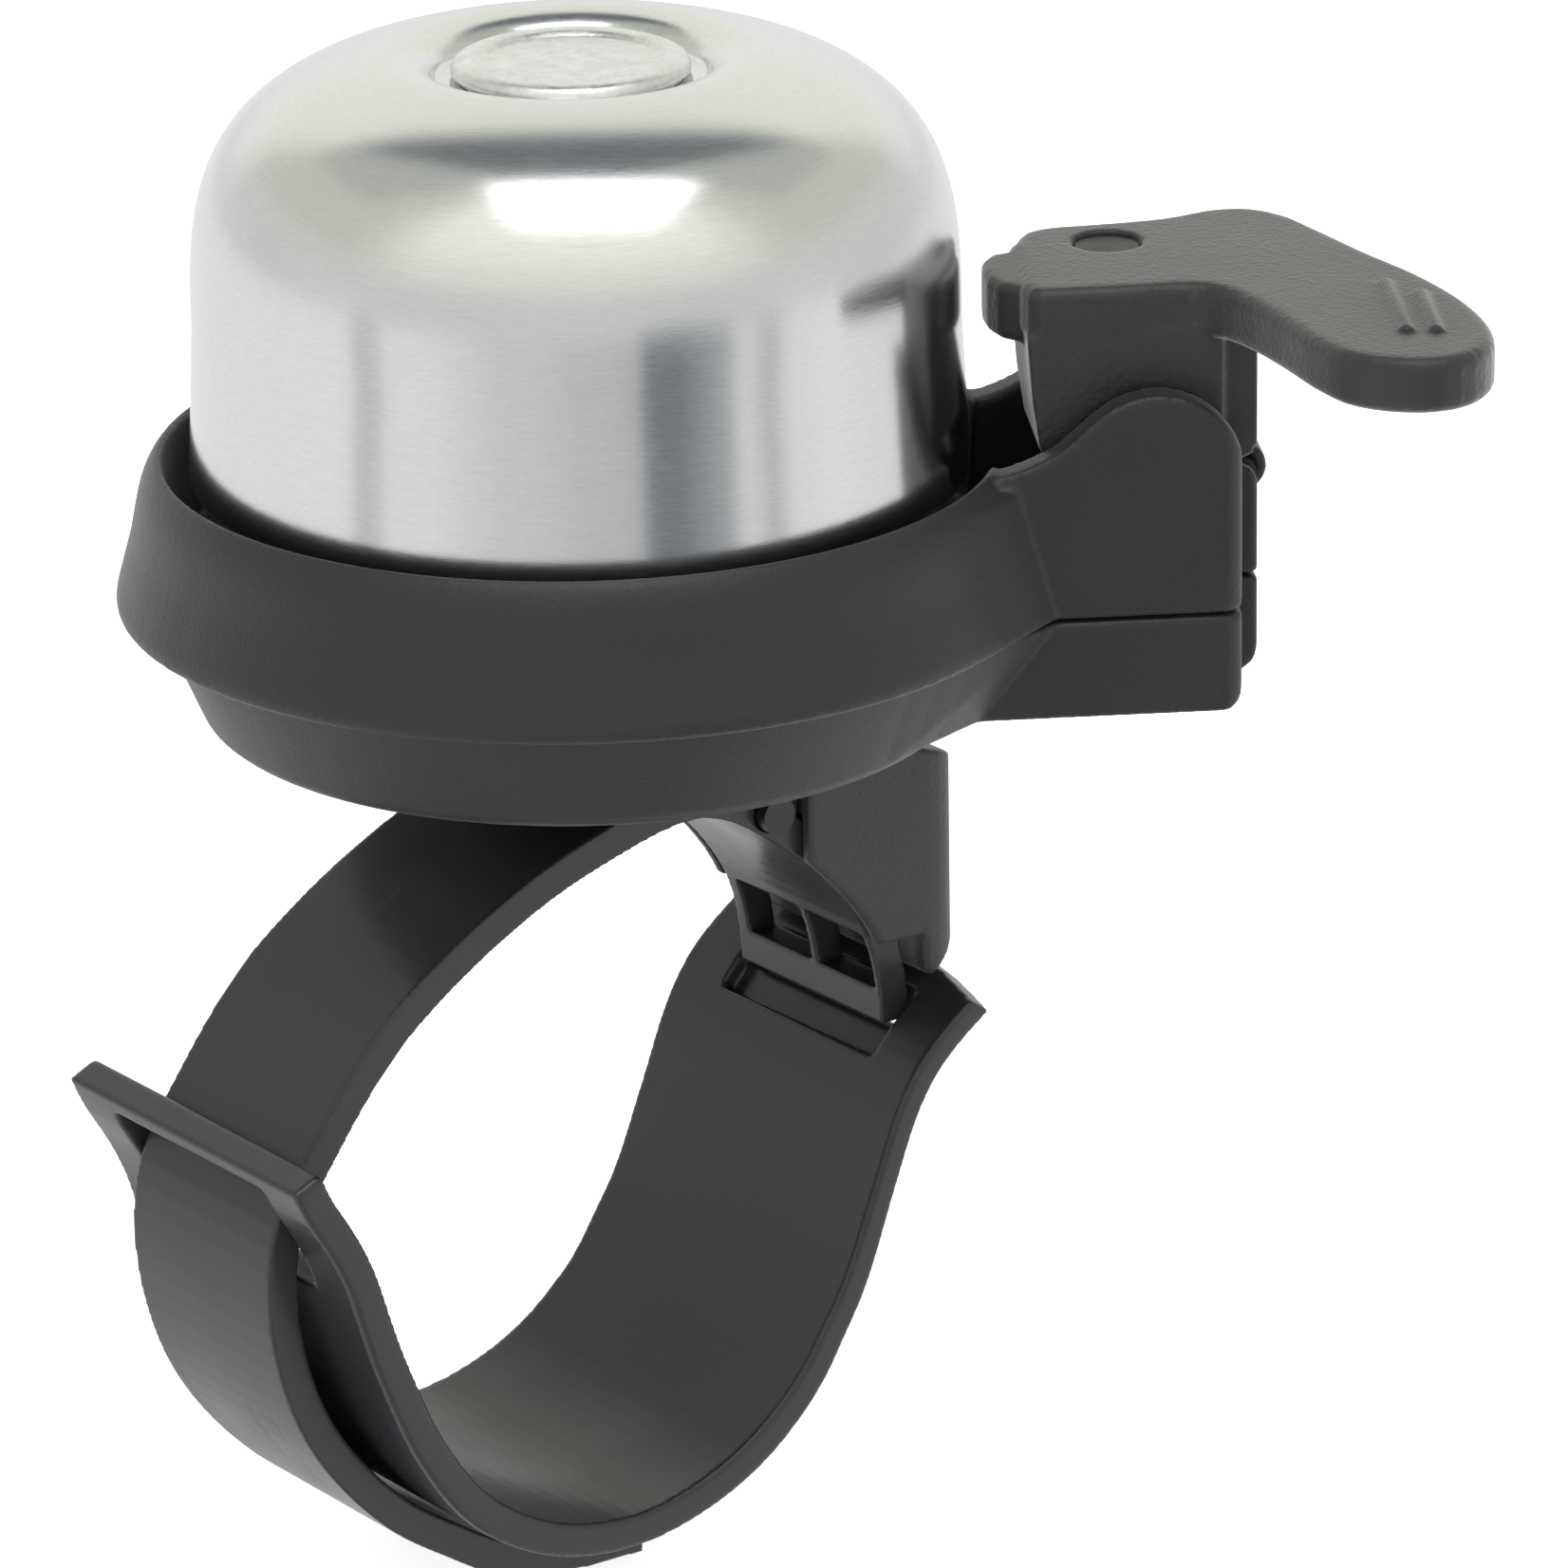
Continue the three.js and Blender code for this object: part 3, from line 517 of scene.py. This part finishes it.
def rib(name, a_, b_, radius):
    """A low round-ended rib between two points of the arm frame."""
    bm = bmesh.new()
    p0, p1 = arm_point(*a_), arm_point(*b_)
    d = (p1 - p0).normalized()
    side = d.cross(Vector((0, 0, 1))).normalized()
    top = side.cross(d)
    rings = []
    n = 24
    prof_ = [(-math.cos(math.radians(q)) * radius, math.sin(math.radians(q)) * radius, p0) for q in (4, 20, 38, 58, 78, 90)]
    prof_ += [(math.cos(math.radians(q)) * radius, math.sin(math.radians(q)) * radius, p1) for q in (90, 78, 58, 38, 20, 4)]
    for off, rad_, c in prof_:
        rings.append([bm.verts.new(c + d * mm(off) + side * mm(rad_ * math.cos(2 * math.pi * i / n)) + top * mm(rad_ * math.sin(2 * math.pi * i / n))) for i in range(n)])
    for u_, v_ in zip(rings, rings[1:]):
        for i in range(n):
            bm.faces.new((u_[i], u_[(i + 1) % n], v_[(i + 1) % n], v_[i]))
    bm.faces.new(list(reversed(rings[0])))
    bm.faces.new(rings[-1])
    bmesh.ops.recalc_face_normals(bm, faces=bm.faces)
    me_ = bpy.data.meshes.new(name)
    bm.to_mesh(me_)
    bm.free()
    me_.polygons.foreach_set("use_smooth", [True] * len(me_.polygons))
    ob_ = bpy.data.objects.new(name, me_)
    bpy.context.scene.collection.objects.link(ob_)
    me_.materials.append(MAT["lever"])
    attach(ob_, "lever")
    return ob_


rib("grip_rib_inner", (38.92, -15.15, 8.29), (39.12, -7.5, 8.29), 0.31)
rib("grip_rib_outer", (40.32, -15.35, 8.29), (40.58, -9.5, 8.29), 0.31)

# ------------------------------------------------------------------ floor and light
scene = bpy.context.scene
scene.view_settings.view_transform = "Standard"
scene.view_settings.look = "None"
scene.view_settings.exposure = 0.0

z_floor = CAD_BOX[0][2] - 0.0002
me = bpy.data.meshes.new("floor")
S = 6.0
me.from_pydata([(-S, -S, z_floor), (S, -S, z_floor), (S, S, z_floor), (-S, S, z_floor)], [], [(0, 1, 2, 3)])
floor = bpy.data.objects.new("floor", me)
scene.collection.objects.link(floor)
floor.visible_glossy = False
m, nt = new_mat("pale_floor")
t = Tree(nt)
d = t.add("ShaderNodeBsdfDiffuse")
d.inputs["Color"].default_value = (0.9, 0.9, 0.9, 1)
em = t.add("ShaderNodeEmission")
em.inputs["Color"].default_value = (1, 1, 1, 1)
em.inputs["Strength"].default_value = 0.8
a = t.add("ShaderNodeAddShader")
t.link(d.outputs[0], a.inputs[0]); t.link(em.outputs[0], a.inputs[1])
o = t.add("ShaderNodeOutputMaterial")
t.link(a.outputs[0], o.inputs["Surface"])
me.materials.append(m)

world = bpy.data.worlds.new("studio")
scene.world = world
world.use_nodes = True
wt = world.node_tree
wt.nodes.clear()
t = Tree(wt)
gx, gy, gz = t.separate(t.add("ShaderNodeTexCoord").outputs["Generated"])
# the studio's own axes: sx to the right, sy away, gz up
sx = t.math("SUBTRACT", t.math("MULTIPLY", gx, math.cos(PSI)), t.math("MULTIPLY", gy, math.sin(PSI)))
sy = t.math("ADD", t.math("MULTIPLY", gx, math.sin(PSI)), t.math("MULTIPLY", gy, math.cos(PSI)))
az = t.math("MULTIPLY", t.math("ARCTAN2", sx, t.math("MULTIPLY", sy, -1.0)), 180 / math.pi)
el = t.math("MULTIPLY", t.math("ARCSINE", gz), 180 / math.pi)


def sstep(v, a, b):
    n = t.add("ShaderNodeMapRange", interpolation_type="SMOOTHSTEP", clamp=True)
    t.link(v, n.inputs["Value"])
    for k, x in zip(("From Min", "From Max", "To Min", "To Max"), (a, b, 0.0, 1.0)):
        n.inputs[k].default_value = x
    return n.outputs["Result"]


def band(v, lo_, hi_, s_lo, s_hi):
    up_ = sstep(v, lo_ - s_lo, lo_ + s_lo)
    dn = sstep(v, hi_ - s_hi, hi_ + s_hi)
    return t.math("MULTIPLY", up_, t.math("SUBTRACT", 1.0, dn))


def mix(a_, b_, f_):
    n = t.add("ShaderNodeMix", data_type="FLOAT")
    for sock, v in ((n.inputs[0], f_), (n.inputs[2], a_), (n.inputs[3], b_)):
        if hasattr(v, "links"):
            t.link(v, sock)
        else:
            sock.default_value = v
    return n.outputs[0]


def curve(v, pts, lo_, hi_):
    """Piecewise-linear level over a range, as a colour ramp."""
    fac = t.math("DIVIDE", t.math("SUBTRACT", v, lo_), hi_ - lo_)
    n = t.add("ShaderNodeValToRGB")
    e = n.color_ramp.elements
    while len(e) < len(pts):
        e.new(0.5)
    for el_, (q, c) in zip(e, pts):
        el_.position = (q - lo_) / (hi_ - lo_)
        el_.color = (c, c, c, 1)
    t.link(fac, n.inputs["Fac"])
    return n.outputs["Color"]


low = curve(az, [(-180, 0.86), (-72, 0.88), (-70, 0.86), (-66, 0.56), (-62, 0.58), (-56, 0.86), (-44, 0.84), (-35, 0.77), (-22, 0.68), (-9, 0.64), (2, 0.58), (18.5, 0.55),
                 (21, 0.2), (31, 0.2), (37, 0.3), (45, 0.42), (51, 0.82), (55, 0.68), (59.5, 0.48), (65, 0.8), (80, 0.88), (104, 0.82), (180, 0.86)], -180, 180)
mid = curve(t.math("ABSOLUTE", az), [(0, 0.70), (45, 0.66), (70, 0.72), (105, 0.66), (130, 0.72), (180, 0.86)], 0, 180)
upper = curve(el, [(0, 0.66), (12, 0.70), (20, 0.82), (32, 0.92), (45, 0.98), (55, 1.0), (90, 1.0)], 0, 90)
side = sstep(t.math("ABSOLUTE", az), 45, 82)
back = sstep(t.math("ABSOLUTE", az), 128, 150)
upper = mix(upper, 0.62, t.math("MULTIPLY", side, sstep(el, 8, 24)))
upper = mix(upper, 0.9, back)
level = mix(low, mid, sstep(el, -6, -1))
level = mix(level, upper, sstep(el, 2, 12))
gp = t.math("MAXIMUM", gz, 0.05)
px, py = t.math("DIVIDE", sx, gp), t.math("DIVIDE", sy, gp)
over = sstep(gz, 0.2, 0.3)
shelf = t.math("MULTIPLY", t.math("MULTIPLY", band(px, -0.95, 1.0, 0.08, 0.08), band(py, 0.02, 0.86, 0.05, 0.08)), over)
level = mix(level, 0.5, shelf)
flare = t.math("DIVIDE", px, t.math("MAXIMUM", t.math("ADD", t.math("MULTIPLY", py, 0.75), 0.08), 0.05))
gap = t.math("MULTIPLY", t.math("MULTIPLY", band(flare, -1.0, 1.02, 0.2, 0.2), band(py, 0.12, 0.72, 0.03, 0.06)), over)
level = mix(level, 0.15, gap)
box = t.math("MULTIPLY", t.math("MULTIPLY", band(px, -0.27, 0.42, 0.06, 0.06), band(py, -0.6, 0.06, 0.08, 0.03)), over)
dim = t.math("SUBTRACT", 1.0, sstep(level, 0.22, 0.56))
level = mix(level, 2.6, box)
bg = t.add("ShaderNodeBackground")
cl = t.add("ShaderNodeCombineColor")
high = t.math("MULTIPLY", sstep(el, 8, 24), t.math("SUBTRACT", 1.0, box))
for i, (plain, warm, cool) in enumerate(((0.995, 0.985, 0.89), (1.0, 1.0, 1.0), (0.99, 0.91, 1.07))):
    t.link(t.math("MULTIPLY", level, mix(mix(plain, warm, high), cool, dim)), cl.inputs[i])
t.link(cl.outputs[0], bg.inputs["Color"])
bg.inputs["Strength"].default_value = 1.0
wo = t.add("ShaderNodeOutputWorld")
t.link(bg.outputs[0], wo.inputs["Surface"])


def area(name, at, look, sx_, sy_, power, color=(1, 1, 1)):
    l = bpy.data.lights.new(name, "AREA")
    l.shape = "RECTANGLE"
    l.size, l.size_y = sx_, sy_
    l.energy = power
    l.color = color
    ob = bpy.data.objects.new(name, l)
    scene.collection.objects.link(ob)
    p, q = view_dir(*at) + AX, view_dir(*look) + AX
    ob.location = p
    ob.rotation_mode = "QUATERNION"
    ob.rotation_quaternion = (q - p).to_track_quat("-Z", "Y")
    ob.visible_glossy = False
    return ob


# positions in the view's own axes: x to the picture's right, y away, z up
area("top_softbox", (-0.15, -0.05, 0.7), (0, 0, 0.03), 0.5, 0.5, 1.0)
